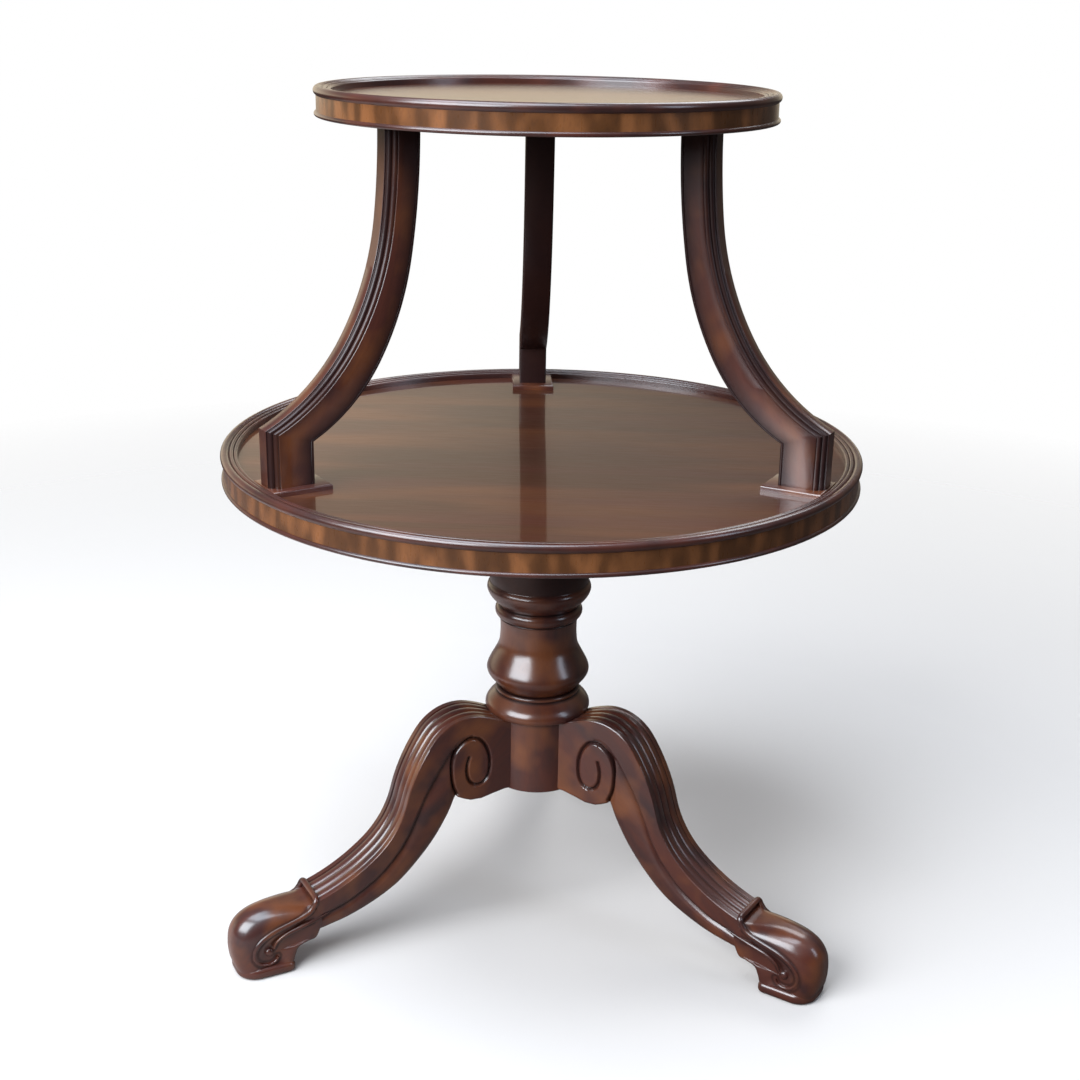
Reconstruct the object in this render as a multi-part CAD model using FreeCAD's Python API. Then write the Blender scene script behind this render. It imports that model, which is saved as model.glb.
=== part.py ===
import FreeCAD, Part
import math
import os

Vector = FreeCAD.Vector

# Driving dimensions, in millimetres and degrees.

# The three legs and the three supports go round the table's axis at equal angles
places = ("back", "left", "right")
back_azimuth = 90.0

# Tiers
lower_radius = 305.0  # over the lower rim
upper_radius = 209.0  # over the upper rim
lower_face = 495.0  # floor to the face of the lower panel
tier_spacing = 328.0  # face of the lower panel to face of the upper one
lower_panel_thickness = 20.5
upper_panel_thickness = 18.0
rim_width = 16.0
rim_height = 8.0  # above the panel's face
rim_overhang = 2.5  # past the panel's edge
rim_reed_height = 4.0  # of the outer reed's widest line above the panel
rim_reed_inset = 3.0  # of the rim's top line from its widest
rim_inner_height = 6.5
bead_height = 4.5
bead_projection = 2.0

# Supports between the tiers
tier_turn = 5.3  # degrees that the supports stand round from the legs
support_width = 29.0
support_foot_depth = 42.0  # radial depth of the upright block at the foot
support_foot_inner_height = 38.0  # height of the block where the arm leaves it
support_foot_outer_height = 51.0
support_head_depth = 31.0
support_head_inset = 41.5  # from the upper rim to the head
support_moulding = 8.0  # taken off the outer edges
support_tenon_margin = 7.0  # shoulder round the tenons
support_tenon_depth = 11.0  # into a panel
pad_thickness = 5.0
pad_margin = 8.0  # at each side of the foot
pad_front_margin = 13.0  # towards the middle of the table
pad_back_margin = 1.0
pad_bevel = 1.5
pad_clearance = 0.6  # to the rim

# The arm's two edges, from the head down: shares of the run from head to foot and of the drop
support_inner_shares = [(0.09, 0.43), (0.385, 0.76), (1.0, 1.0)]
support_outer_shares = [(0.04, 0.315), (0.33, 0.713), (1.0, 1.0)]
arm_heading = -90.0

# Column
drum_radius = 46.0
drum_bottom = 146.0  # above the floor
drum_height = 77.0
base_radius = 52.7
waist_radius = 39.5
bulb_radius = 51.7
neck_radius = 38.2
ring_radius = 43.2
collar_radius = 51.3
collar_neck_radius = 41.0
tenon_radius = 22.0

# Levels on the column, as shares of the turned length between the drum and the bearer block
base_share = 0.05
waist_share = 0.118
bulb_start_share = 0.18
bulb_end_share = 0.23
bulb_top_share = 0.29
ring_start_share = 0.43
ring_end_share = 0.485
collar_share = 0.575
bulb_top_radius_share = 0.5  # of the way from neck to bulb

# Bearer block under the lower panel, and the wedge in the column's tenon
bearer_width = 150.0
bearer_thickness = 28.0
bearer_chamfer = 9.0
wedge_width = 3.0
wedge_depth = 18.0

# Legs
leg_width = 44.0
knee_height = 235.0  # crown of the knee above the floor
ankle_reach = 250.0  # from the table's axis
toe_reach = 333.0
toe_width = 47.0
toe_height = 71.0
toe_crown = 20.0  # radius along the toe's top edges
toe_nose = 21.0  # radius of the toe's corners in plan
cuff_thickness = 7.0
cuff_rise = 2.5  # proud of the leg all round
sole_height = 9.0
sole_margin = 2.0  # past the toe's sides
sole_setback = 5.0  # of the sole's front behind the toe's
sole_length = 54.0
sole_edge = 3.0
heel_height = 21.0
reed_width = 12.0
reed_groove_width = 3.2
reed_groove_depth = 2.2
reed_cutter_rise = 2.5  # of the grooves' cutter above the leg
reed_groove_count = 2

# The leg's edges, as shares of its run from drum to ankle and of the knee's height
leg_root_share = 0.946
leg_top_heading = 27.0
leg_top_shares = [(0.1225, 0.988), (0.387, 0.910), (0.529, 0.651), (0.686, 0.438), (1.0, 0.294)]
leg_ankle_share = 0.155
leg_under_heading = 178.0
leg_under_shares = [(0.618, 0.243), (0.255, 0.634)]
leg_lobe_shares = [(0.14, 0.60), (0.05, 0.62)]

# The toe's edges, as shares of its length past the ankle and of its height
toe_top_heading = 8.0
toe_top_shares = [(0.62, 0.97), (1.0, 0.58), (0.965, 0.08)]
toe_heel_shares = [(0.17, 0.40)]

# Joinery and fixings
joint_gap = 0.1  # slack round a fitted piece
key_depth = 14.0
key_neck_width = 15.0
key_back_width = 21.0
key_height_share = 0.78  # of the drum's height
spider_thickness = 3.0
spider_arm_reach = 66.0
spider_arm_width = 20.0
overrun = 20.0  # how far a cutting shape runs past what it cuts

# Levels and radii that follow from those
origin = Vector(0, 0, 0)
upward = Vector(0, 0, 1)
sideways = Vector(0, 1, 0)
full_turn = 360.0
azimuths = {name: back_azimuth + full_turn * number / len(places) for number, name in enumerate(places)}
upper_face = lower_face + tier_spacing
lower_underside = lower_face - lower_panel_thickness
upper_underside = upper_face - upper_panel_thickness
bearer_underside = lower_underside - bearer_thickness
drum_top = drum_bottom + drum_height
turned_length = bearer_underside - drum_top
leg_run = ankle_reach - drum_radius
toe_length = toe_reach - ankle_reach
sole_front = toe_reach - sole_setback
sole_heel = sole_front - sole_length
pad_width = support_width + 2 * pad_margin
pad_outer = math.sqrt((lower_radius - rim_width) ** 2 - (pad_width / 2) ** 2) - pad_clearance
foot_outer = pad_outer - pad_back_margin
foot_inner = foot_outer - support_foot_depth
pad_inner = foot_inner - pad_front_margin
pad_top = lower_face + pad_thickness
head_outer = upper_radius - support_head_inset
head_inner = head_outer - support_head_depth


def edge_through(points):
    """Edge through points (x, z) of the plane y = 0: a line through two, an arc through three."""
    places = [Vector(x, 0, z) for x, z in points]
    if len(places) == 2:
        return Part.LineSegment(*places).toShape()
    return Part.Arc(*places).toShape()


def edges_along(start, steps):
    """Edges from start on. A step lists the points that its edge passes after the last one's end."""
    edges = []
    for step in steps:
        edges.append(edge_through([start] + step))
        start = step[-1]
    return edges


def outline(start, *steps):
    """Closed face in the plane y = 0."""
    return Part.Face(Part.Wire(edges_along(start, list(steps) + [[start]])))


def lines(points):
    """Steps of an outline that goes straight from point to point."""
    return [[place] for place in points]


def tangent_arcs(start, heading, points):
    """Steps of an outline: an arc to each point, which leaves the last one's end without a corner."""
    steps = []
    heading = math.radians(heading)
    for place in points:
        run, rise = place[0] - start[0], place[1] - start[1]
        bend = math.remainder(math.atan2(rise, run) - heading, 2 * math.pi)
        bow = math.tan(bend / 2) / 2
        middle = (start[0] + run / 2 + rise * bow, start[1] + rise / 2 - run * bow)
        steps.append([middle, place])
        heading += 2 * bend
        start = place
    return steps


def turned(face):
    """Solid of revolution about the table's axis."""
    return face.revolve(origin, upward, full_turn)


def slab(face, width):
    """Solid of the face's outline, centred on the plane y = 0."""
    solid = face.extrude(sideways * width)
    solid.translate(sideways * (-width / 2))
    return solid


def block(low_x, high_x, width, low_z, high_z):
    """Box centred on the plane y = 0."""
    return Part.makeBox(high_x - low_x, width, high_z - low_z, Vector(low_x, -width / 2, low_z))


def placed(shape, azimuth):
    """Copy of the shape, turned about the table's axis."""
    return shape.copy().rotate(origin, upward, azimuth)


def ring_of(shape):
    """Three copies of the shape, one at each leg."""
    return [placed(shape, azimuth) for azimuth in azimuths.values()]


def between(low, high, share):
    return low + share * (high - low)


# Tiers


def panel(radius, face, thickness):
    return Part.makeCylinder(radius - rim_overhang, thickness, Vector(0, 0, face - thickness), upward)


def rim(radius, face):
    """Moulded rim on the panel: a bevelled outer reed, falling away to the panel inside."""
    inner = radius - rim_width
    points = [
        (radius - rim_overhang, face),
        (radius, face + rim_reed_height),
        (radius - rim_reed_inset, face + rim_height),
        (inner, face + rim_inner_height),
    ]
    return turned(outline((inner, face), *lines(points)))


def edge_bead(radius, face, thickness):
    """Small bead along the lower edge of a panel."""
    back = radius - rim_overhang
    bottom = face - thickness
    points = [(back + bead_projection, bottom + bead_height / 2), (back, bottom + bead_height)]
    return turned(outline((back, bottom), *lines(points)))


# Supports


def support_tenons(slack=0.0):
    """Tenons at the foot and at the head of a support, or with slack their mortises."""
    width = support_width - 2 * support_tenon_margin + 2 * slack
    grow = slack - support_tenon_margin
    deep = support_tenon_depth + slack
    foot = block(foot_inner - grow, foot_outer + grow, width, lower_face - deep, pad_top)
    head = block(head_inner - grow, head_outer + grow, width, upper_underside, upper_underside + deep)
    return foot, head


def support():
    """Curved support on an upright foot, with bevelled outer edges and a tenon at each end."""

    def arm(head, foot, notch, shares):
        start = (head, upper_underside)
        points = [
            (between(head, foot, along), between(upper_underside, notch, down)) for along, down in shares
        ]
        return edges_along(start, tangent_arcs(start, arm_heading, points))

    inner_notch = pad_top + support_foot_inner_height
    outer_notch = pad_top + support_foot_outer_height
    inner_arm = arm(head_inner, foot_inner, inner_notch, support_inner_shares)
    outer_arm = arm(head_outer, foot_outer, outer_notch, support_outer_shares)
    foot_points = [(foot_inner, pad_top), (foot_outer, pad_top), (foot_outer, outer_notch)]
    foot = edges_along((foot_inner, inner_notch), lines(foot_points))
    head = edge_through([(head_inner, upper_underside), (head_outer, upper_underside)])
    border = Part.Wire(Part.__sortEdges__(inner_arm + foot + outer_arm + [head]))
    body = slab(Part.Face(border), support_width)
    rail = Part.Wire(Part.__sortEdges__(outer_arm + foot[-1:]))

    def beside_rail(edge):
        middle = edge.valueAt((edge.FirstParameter + edge.LastParameter) / 2)
        middle.y = 0
        return edge.BoundBox.YLength < joint_gap and rail.distToShape(Part.Vertex(middle))[0] < joint_gap

    moulded = body.makeChamfer(support_moulding, [edge for edge in body.Edges if beside_rail(edge)])
    return moulded.multiFuse(support_tenons()).removeSplitter()


def pad():
    """Thin plate under a support's foot, bevelled round its top, with a mortise through it."""
    plate = block(pad_inner, pad_outer, pad_width, lower_face, pad_top)
    top = [edge for edge in plate.Edges if min(corner.Z for corner in edge.Vertexes) > lower_face]
    return plate.makeChamfer(pad_bevel, top).cut(support_tenons(joint_gap)[0])


# Column and bearer block


def column():
    """Turned column on a drum with three dovetail housings, and a round tenon at the top."""

    def level(share):
        return drum_top + share * turned_length

    points = [
        (drum_radius, drum_bottom),
        (drum_radius, drum_top),
        (base_radius, drum_top),
        (base_radius, level(base_share)),
        (waist_radius, level(waist_share)),
        (bulb_radius, level(bulb_start_share)),
        (bulb_radius, level(bulb_end_share)),
        (between(neck_radius, bulb_radius, bulb_top_radius_share), level(bulb_top_share)),
        (neck_radius, level(ring_start_share)),
        (ring_radius, level(ring_start_share)),
        (ring_radius, level(ring_end_share)),
        (collar_neck_radius, level(ring_end_share)),
        (collar_radius, level(collar_share)),
        (collar_radius, bearer_underside),
        (tenon_radius, bearer_underside),
        (tenon_radius, lower_underside),
        (0, lower_underside),
    ]
    housings = ring_of(key(joint_gap))
    return turned(outline((0, drum_bottom), *lines(points))).cut(housings + [wedge(joint_gap)])


def wedge(slack=0.0):
    """Wedge driven down into the tenon, or with slack its cut."""
    half = wedge_width / 2 + slack
    tip = lower_underside - wedge_depth - slack
    face = outline((-half, lower_underside), *lines([(0, tip), (half, lower_underside)]))
    return slab(face, 2 * (tenon_radius - wedge_width + slack))


def bearer_block():
    """Square block, chamfered below, that takes the column's tenon."""
    solid = block(-bearer_width / 2, bearer_width / 2, bearer_width, bearer_underside, lower_underside)
    low = [edge for edge in solid.Edges if max(corner.Z for corner in edge.Vertexes) < lower_underside]
    base = Vector(0, 0, bearer_underside)
    bore = Part.makeCylinder(tenon_radius + joint_gap, bearer_thickness, base, upward)
    return solid.makeChamfer(bearer_chamfer, low).cut(bore)


# Legs


def on_leg(shares):
    """Places on the side of a leg."""
    return [(drum_radius + leg_run * along, knee_height * high) for along, high in shares]


def on_toe(shares):
    """Places on the side of a toe."""
    return [(ankle_reach + toe_length * along, toe_height * high) for along, high in shares]


def key(slack=0.0):
    """Dovetail key that slides up into the drum, or with slack its housing."""
    front = drum_radius + leg_width / 2
    back = drum_radius - key_depth - slack
    flare = (key_back_width - key_neck_width) / 2 / key_depth
    low = drum_bottom
    top = drum_bottom + drum_height * key_height_share + slack
    corners = []
    for x in (back, front):
        half = key_neck_width / 2 + slack + flare * (drum_radius - x)
        corners += [Vector(x, -half, low), Vector(x, half, low)]
    loop = [corners[0], corners[2], corners[3], corners[1], corners[0]]
    return Part.Face(Part.makePolygon(loop)).extrude(upward * (top - low))


leg_root = on_leg([(0, leg_root_share)])[0]
leg_ankle = on_leg([(1, leg_ankle_share)])[0]
leg_top = tangent_arcs(leg_root, leg_top_heading, on_leg(leg_top_shares))


def leg_body():
    """S-curved body between the drum and the toe."""
    under = tangent_arcs(leg_ankle, leg_under_heading, on_leg(leg_under_shares))
    lobe = on_leg(leg_lobe_shares)
    face = outline(
        leg_root,
        *leg_top,
        [leg_ankle],
        *under,
        lobe,
        *lines([(lobe[-1][0], drum_bottom), (0, drum_bottom), (0, leg_root[1])]),
    )
    return slab(face, leg_width)


def groove(start, steps, outward, width, depth):
    """V-shaped cutter along a path, which opens in the outward direction at the path's start."""
    path = edges_along(start, steps)
    place, along = path[0].valueAt(path[0].FirstParameter), path[0].tangentAt(path[0].FirstParameter)
    aside = along.cross(outward)
    flare = aside * (width / 2 * (depth + reed_cutter_rise) / depth)
    rise = outward * reed_cutter_rise
    corners = [place + rise + flare, place - outward * depth, place + rise - flare]
    return Part.Wire(path).makePipe(Part.Face(Part.makePolygon(corners + corners[:1])))


def reed_grooves():
    """Grooves down the top of a leg, which leave the reeds between them."""
    heading = math.radians(leg_top_heading)
    outward = Vector(-math.sin(heading), 0, math.cos(heading))
    one = groove(leg_root, leg_top, outward, reed_groove_width, reed_groove_depth)
    return [
        one.translated(sideways * reed_width * (number - (reed_groove_count - 1) / 2))
        for number in range(reed_groove_count)
    ]


def plan_block(width, heel, front, nose, height):
    """Upright block whose front corners are rounded in plan."""
    solid = block(heel, front, width, 0, height)
    upright = [edge for edge in solid.Edges if edge.BoundBox.ZLength > height / 2]
    corners = [edge for edge in upright if edge.BoundBox.XMin > heel]
    return solid.makeFillet(nose, corners)


def toe():
    """Scroll toe: one block cut to its outlines from the side, from above and from the front."""
    ankle_top = leg_top[-1][-1]
    top = tangent_arcs(ankle_top, toe_top_heading, on_toe(toe_top_shares))
    floor_points = [(top[-1][-1][0], 0), (sole_heel + sole_height, 0), (sole_heel, heel_height)]
    instep = [on_toe(toe_heel_shares)[0], leg_ankle]
    side = outline(ankle_top, *top, *lines(floor_points), instep)
    plan = plan_block(toe_width, ankle_reach - overrun, toe_reach, toe_nose, toe_height)
    crown = block(ankle_reach - overrun, toe_reach + overrun, toe_width, 0, toe_height)
    edges = [edge for edge in crown.Edges if edge.BoundBox.ZMin > 0 and edge.BoundBox.XLength > toe_length]
    return slab(side, toe_width).common(plan).common(crown.makeFillet(toe_crown, edges))


def cuff():
    """Raised band round the ankle."""
    top = leg_top[-1][-1][1] + cuff_rise
    return block(ankle_reach - cuff_thickness, ankle_reach, leg_width + 2 * cuff_rise, leg_ankle[1], top)


def sole():
    """Flat sole with a bevelled edge, a little wider than the toe."""
    plate = plan_block(toe_width + 2 * sole_margin, sole_heel, sole_front, toe_nose, sole_height)
    return plate.makeChamfer(sole_edge, [edge for edge in plate.Edges if edge.BoundBox.ZMin > 0])


def spider_arm(depth, slack=0.0):
    """One arm of the iron plate, or with slack its housing in a leg."""
    return block(0, spider_arm_reach + slack, spider_arm_width + 2 * slack, drum_bottom - depth, drum_bottom)


def leg():
    """Carved leg: body, cuff, toe and sole in one, with the key that holds it to the drum."""
    seat = Part.makeCylinder(drum_radius + joint_gap, knee_height)
    body = leg_body().cut([seat, spider_arm(overrun, joint_gap)] + reed_grooves())
    return body.multiFuse([key(), cuff(), toe(), sole()]).removeSplitter()


def spider_plate():
    """Three-armed iron plate under the drum, let into the roots of the legs."""
    arms = ring_of(spider_arm(spider_thickness))
    return arms[0].multiFuse(arms[1:]).removeSplitter()


def assembly():
    """Every piece of the table by name."""
    pieces = {}
    mortises = []
    for azimuth in azimuths.values():
        mortises += [placed(tenon, azimuth + tier_turn) for tenon in support_tenons(joint_gap)]
    tiers = {
        "upper": (upper_radius, upper_face, upper_panel_thickness),
        "lower": (lower_radius, lower_face, lower_panel_thickness),
    }
    for name, (radius, face, thickness) in tiers.items():
        pieces[f"{name}_panel"] = panel(radius, face, thickness).cut(mortises)
        pieces[f"{name}_rim"] = rim(radius, face)
        pieces[f"{name}_bead"] = edge_bead(radius, face, thickness)
    for name, azimuth in azimuths.items():
        pieces[f"support_{name}"] = placed(support(), azimuth + tier_turn)
        pieces[f"support_pad_{name}"] = placed(pad(), azimuth + tier_turn)
        pieces[f"leg_{name}"] = placed(leg(), azimuth)
    pieces["bearer_block"] = bearer_block()
    pieces["column"] = column()
    pieces["tenon_wedge"] = wedge()
    pieces["spider_plate"] = spider_plate()
    return pieces


os.makedirs("parts", exist_ok=True)
for name, shape in assembly().items():
    print(name, shape.isValid(), round(shape.Volume), len(shape.Solids))
    shape.exportStep(f"parts/{name}.step")
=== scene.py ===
import math

import bmesh
import bpy
from mathutils import Matrix, Vector, geometry, kdtree


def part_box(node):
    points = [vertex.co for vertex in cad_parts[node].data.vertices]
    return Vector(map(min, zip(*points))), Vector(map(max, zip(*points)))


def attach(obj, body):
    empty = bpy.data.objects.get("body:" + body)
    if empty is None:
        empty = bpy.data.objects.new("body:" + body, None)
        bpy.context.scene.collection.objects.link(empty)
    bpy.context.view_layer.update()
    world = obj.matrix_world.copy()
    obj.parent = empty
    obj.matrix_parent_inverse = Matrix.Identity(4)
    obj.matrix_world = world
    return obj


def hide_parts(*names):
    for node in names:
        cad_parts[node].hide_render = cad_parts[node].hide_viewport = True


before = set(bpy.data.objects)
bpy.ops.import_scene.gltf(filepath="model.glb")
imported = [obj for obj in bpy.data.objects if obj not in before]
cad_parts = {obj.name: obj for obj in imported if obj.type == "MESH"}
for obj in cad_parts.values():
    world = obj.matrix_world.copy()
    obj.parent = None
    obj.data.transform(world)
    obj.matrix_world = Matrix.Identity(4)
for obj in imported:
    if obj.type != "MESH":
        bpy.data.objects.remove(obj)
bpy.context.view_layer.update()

bl_info = {
    "name": "Tiered side table",
    "version": (1, 0, 0),
    "blender": (4, 5, 0),
    "location": "View3D > Sidebar > Side Table",
    "description": "Dresses the packed side table: moulded tops, supports, turned column, carved legs",
    "category": "Object",
}

up = Vector((0, 0, 1))
mm = 0.001
weld = 0.001 * mm
level_slack = 0.01 * mm

# Where the legs stand round the column, and how far the supports are turned from them
leg_azimuths = {"back": math.radians(90), "left": math.radians(210), "right": math.radians(330)}
support_turn = math.radians(5.3)


def radial_span(node, azimuth):
    """Least and greatest reach of a CAD node along a direction from the column's axis."""
    outward = Vector((math.cos(azimuth), math.sin(azimuth), 0))
    reaches = [vert.co.dot(outward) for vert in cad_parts[node].data.vertices]
    return min(reaches), max(reaches)


# Sizes that come from the frame
lower_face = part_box("lower_panel")[1].z
lower_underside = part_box("lower_panel")[0].z
upper_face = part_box("upper_panel")[1].z
upper_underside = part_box("upper_panel")[0].z
inset = 0.05 * mm
lower_radius = -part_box("lower_rim")[0].x - inset
upper_radius = -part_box("upper_rim")[0].x - inset
lower_panel_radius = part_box("lower_panel")[1].x
upper_panel_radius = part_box("upper_panel")[1].x
rim_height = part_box("lower_rim")[1].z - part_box("lower_rim")[0].z - inset
bearer_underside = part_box("bearer_block")[0].z
drum_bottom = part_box("column")[0].z
pad_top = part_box("support_pad_back")[1].z
pad_inner, pad_outer = radial_span("support_pad_back", leg_azimuths["back"] + support_turn)
head_inner, foot_outer = radial_span("support_back", leg_azimuths["back"] + support_turn)
toe_reach = radial_span("leg_back", leg_azimuths["back"])[1]


class TableSizes(bpy.types.PropertyGroup):
    """Sizes of the mouldings and of the carving."""

    rim_width: bpy.props.FloatProperty(
        name="Rim width", description="Width of both moulded rims",
        default=0.016, min=0.012, max=0.016, unit="LENGTH", subtype="DISTANCE")
    rim_round: bpy.props.FloatProperty(
        name="Rim round", description="Radius of the outer round on both rims",
        default=0.0041, min=0.002, max=0.0042, unit="LENGTH", subtype="DISTANCE")
    rim_reed: bpy.props.FloatProperty(
        name="Rim reed", description="Radius of the two small reeds inside the rim's round",
        default=0.0019, min=0.001, max=0.0025, unit="LENGTH", subtype="DISTANCE")
    edge_bead: bpy.props.FloatProperty(
        name="Edge bead", description="Radius of the bead along the lower edge of a top",
        default=0.0021, min=0.001, max=0.0022, unit="LENGTH", subtype="DISTANCE")
    support_width: bpy.props.FloatProperty(
        name="Support width", description="Width of a support from side to side",
        default=0.029, min=0.024, max=0.029, unit="LENGTH", subtype="DISTANCE")
    leg_width: bpy.props.FloatProperty(
        name="Leg width", description="Width of a leg from side to side",
        default=0.044, min=0.035, max=0.044, unit="LENGTH", subtype="DISTANCE")
    leg_reeds: bpy.props.IntProperty(
        name="Leg reeds", description="Number of reeds along the top of a leg", default=3, min=1, max=5)
    leg_reed_depth: bpy.props.FloatProperty(
        name="Leg reed depth", description="Depth of the grooves between a leg's reeds",
        default=0.0022, min=0.0005, max=0.004, unit="LENGTH", subtype="DISTANCE")
    leg_margin: bpy.props.FloatProperty(
        name="Leg margin", description="Flat margin beside a leg's reeds",
        default=0.0065, min=0.002, max=0.012, unit="LENGTH", subtype="DISTANCE")
    scroll_width: bpy.props.FloatProperty(
        name="Scroll width", description="Width of the spiral cut into a knee",
        default=0.0050, min=0.002, max=0.008, unit="LENGTH", subtype="DISTANCE")
    scroll_depth: bpy.props.FloatProperty(
        name="Scroll depth", description="Depth of the spiral cut into a knee",
        default=0.0030, min=0.001, max=0.006, unit="LENGTH", subtype="DISTANCE")
    toe_width: bpy.props.FloatProperty(
        name="Toe width", description="Width of a toe from side to side",
        default=0.047, min=0.04, max=0.05, unit="LENGTH", subtype="DISTANCE")


class TableColours(bpy.types.PropertyGroup):
    """Colours of the polished wood, of the edge bands and of the floor."""

    # The stain is also the colour of the painted shade in the wood's hollows and under the tops
    stain_and_shade: bpy.props.FloatVectorProperty(
        name="Stain", description="Darkest tone of the polished wood",
        default=(0.014, 0.006, 0.006), min=0, max=1, subtype="COLOR")
    heartwood: bpy.props.FloatVectorProperty(
        name="Heartwood", description="Main red-brown tone of the polished wood",
        default=(0.088, 0.023, 0.014), min=0, max=1, subtype="COLOR")
    amber: bpy.props.FloatVectorProperty(
        name="Amber", description="Light orange-brown tone of the polished wood",
        default=(0.22, 0.068, 0.022), min=0, max=1, subtype="COLOR")
    top_veneer: bpy.props.FloatVectorProperty(
        name="Top veneer", description="Main tone of the veneer on both tops",
        default=(0.064, 0.020, 0.008), min=0, max=1, subtype="COLOR")
    edge_veneer: bpy.props.FloatVectorProperty(
        name="Edge veneer", description="Light tone of the veneer round the edges of both tops",
        default=(0.25, 0.096, 0.034), min=0, max=1, subtype="COLOR")
    floor: bpy.props.FloatVectorProperty(
        name="Floor", description="Colour of the pale floor",
        default=(0.74, 0.70, 0.665), min=0, max=1, subtype="COLOR")
    floor_bounce: bpy.props.FloatVectorProperty(
        name="Floor bounce", description="Colour of the floor as the polished wood mirrors it",
        default=(0.45, 0.37, 0.34), min=0, max=1, subtype="COLOR")


# Curves

spline_steps = 24


def resampled(points, count):
    """That many points at equal distances along a line of points."""
    reaches = [0.0]
    for start, end in zip(points, points[1:]):
        reaches.append(reaches[-1] + (end - start).length)
    made = []
    piece = 0
    for number in range(count):
        reach = reaches[-1] * number / (count - 1)
        while piece < len(points) - 2 and reaches[piece + 1] < reach:
            piece += 1
        length = max(reaches[piece + 1] - reaches[piece], 1e-9)
        made.append(points[piece].lerp(points[piece + 1], (reach - reaches[piece]) / length))
    return made


def spline(points, steps, closed=False):
    """Smooth curve through the points, with that many steps from each point to the next."""
    points = [Vector(point).to_3d() for point in points]
    if closed:
        ends = [points[-1]] + points + points[:2]
    else:
        ends = [2 * points[0] - points[1]] + points + [2 * points[-1] - points[-2]]
    curve = []
    for before, start, end, after in zip(ends, ends[1:], ends[2:], ends[3:]):
        handles = start + (end - before) / 6, end - (after - start) / 6
        curve += geometry.interpolate_bezier(start, *handles, end, steps + 1)[:-1]
    return curve if closed else curve + [points[-1]]


def smooth_path(points, count):
    """Smooth curve through the points, as that many points at equal distances."""
    return resampled(spline(points, spline_steps), count)


def in_plane(points):
    """The points without their third coordinate."""
    return [Vector(point[:2]) for point in points]


def plane_path(points, count):
    """Smooth curve in a plane through the points, as that many points at equal distances."""
    return in_plane(smooth_path(points, count))


def mirrored(points):
    """The points on the other side of the plane y = 0."""
    return [Vector((x, -y, z)) for x, y, z in points]


def arc_points(centre, radius, start, end, count=13):
    """Points of an arc about a centre, from one angle to another in degrees."""
    angles = [math.radians(start + (end - start) * number / (count - 1)) for number in range(count)]
    return [Vector(centre) + radius * Vector((math.cos(angle), math.sin(angle))) for angle in angles]


def arc_through(start, middle, end, count=13):
    """Points on the arc of a circle through three points of a plane."""
    start, middle, end = Vector(start), Vector(middle), Vector(end)
    first, second = middle - start, end - middle
    cross = first.x * second.y - first.y * second.x
    share = (end - start).dot(second) / 2 / cross
    centre = (start + middle) / 2 + share * Vector((-first.y, first.x))
    angles = [
        math.degrees(math.atan2(place.y - centre.y, place.x - centre.x)) for place in (start, end)]
    sweep = math.remainder(angles[1] - angles[0], 360)
    if (cross > 0) != (sweep > 0):
        sweep += math.copysign(360, cross)
    return arc_points(centre, (start - centre).length, angles[0], angles[0] + sweep, count)


def arc_chain(start, heading, points):
    """Points along arcs from point to point that meet without a corner."""
    start = Vector(start)
    made = [start]
    for end in points:
        run = Vector(end) - start
        bend = math.remainder(math.atan2(run.y, run.x) - heading, 2 * math.pi)
        middle = start + run / 2 + math.tan(bend / 2) / 2 * Vector((run.y, -run.x))
        made += arc_through(start, middle, end)[1:]
        heading += 2 * bend
        start = Vector(end)
    return made


def smooth_step(low, high, value):
    """Share of the way from one bound to the other, with soft ends."""
    share = min(max((value - low) / (high - low), 0.0), 1.0)
    return share * share * (3 - 2 * share)


def nearness(points):
    """Tree that tells how near a place is to a line of points."""
    tree = kdtree.KDTree(len(points))
    for number, point in enumerate(points):
        tree.insert(Vector(point).to_3d(), number)
    tree.balance()
    return tree


# Meshes


def spun(profile, steps=192, closed=False):
    """Mesh of a profile of points (radius, height) turned about the column's axis."""
    mesh = bmesh.new()
    verts = [mesh.verts.new((radius, 0, height)) for radius, height in profile]
    pairs = list(zip(verts, verts[1:])) + ([(verts[-1], verts[0])] if closed else [])
    edges = [mesh.edges.new(pair) for pair in pairs]
    bmesh.ops.spin(mesh, geom=verts + edges, cent=(0, 0, 0), axis=up, angle=2 * math.pi,
                   steps=steps, use_merge=True)
    bmesh.ops.remove_doubles(mesh, verts=mesh.verts, dist=weld)
    bmesh.ops.recalc_face_normals(mesh, faces=mesh.faces)
    return mesh


def drawn_on(mesh, line, edges, points):
    """Extrudes a line of edges onto the points. Gives the new line's points and the new faces."""
    made = bmesh.ops.extrude_edge_only(mesh, edges=edges)["geom"]
    fresh = {item for item in made if isinstance(item, bmesh.types.BMVert)}
    copy = []
    for vert, point in zip(line, points):
        ends = (edge.other_vert(vert) for edge in vert.link_edges)
        twin = next(end for end in ends if end in fresh)
        twin.co = point
        copy.append(twin)
    return copy, [item for item in made if isinstance(item, bmesh.types.BMFace)]


def lofted(mesh, rings):
    """Closed skin over rings of points, with a cap at each end."""
    ring = [mesh.verts.new(point) for point in rings[0]]
    edges = [mesh.edges.new((vert, ring[number - 1])) for number, vert in enumerate(ring)]
    faces = bmesh.ops.contextual_create(mesh, geom=edges)["faces"]
    for points in rings[1:]:
        ring, skin = drawn_on(mesh, ring, edges, points)
        edges = [mesh.edges.get((vert, ring[number - 1])) for number, vert in enumerate(ring)]
        faces += skin
    faces += bmesh.ops.contextual_create(mesh, geom=edges)["faces"]
    bmesh.ops.recalc_face_normals(mesh, faces=faces)


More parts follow.
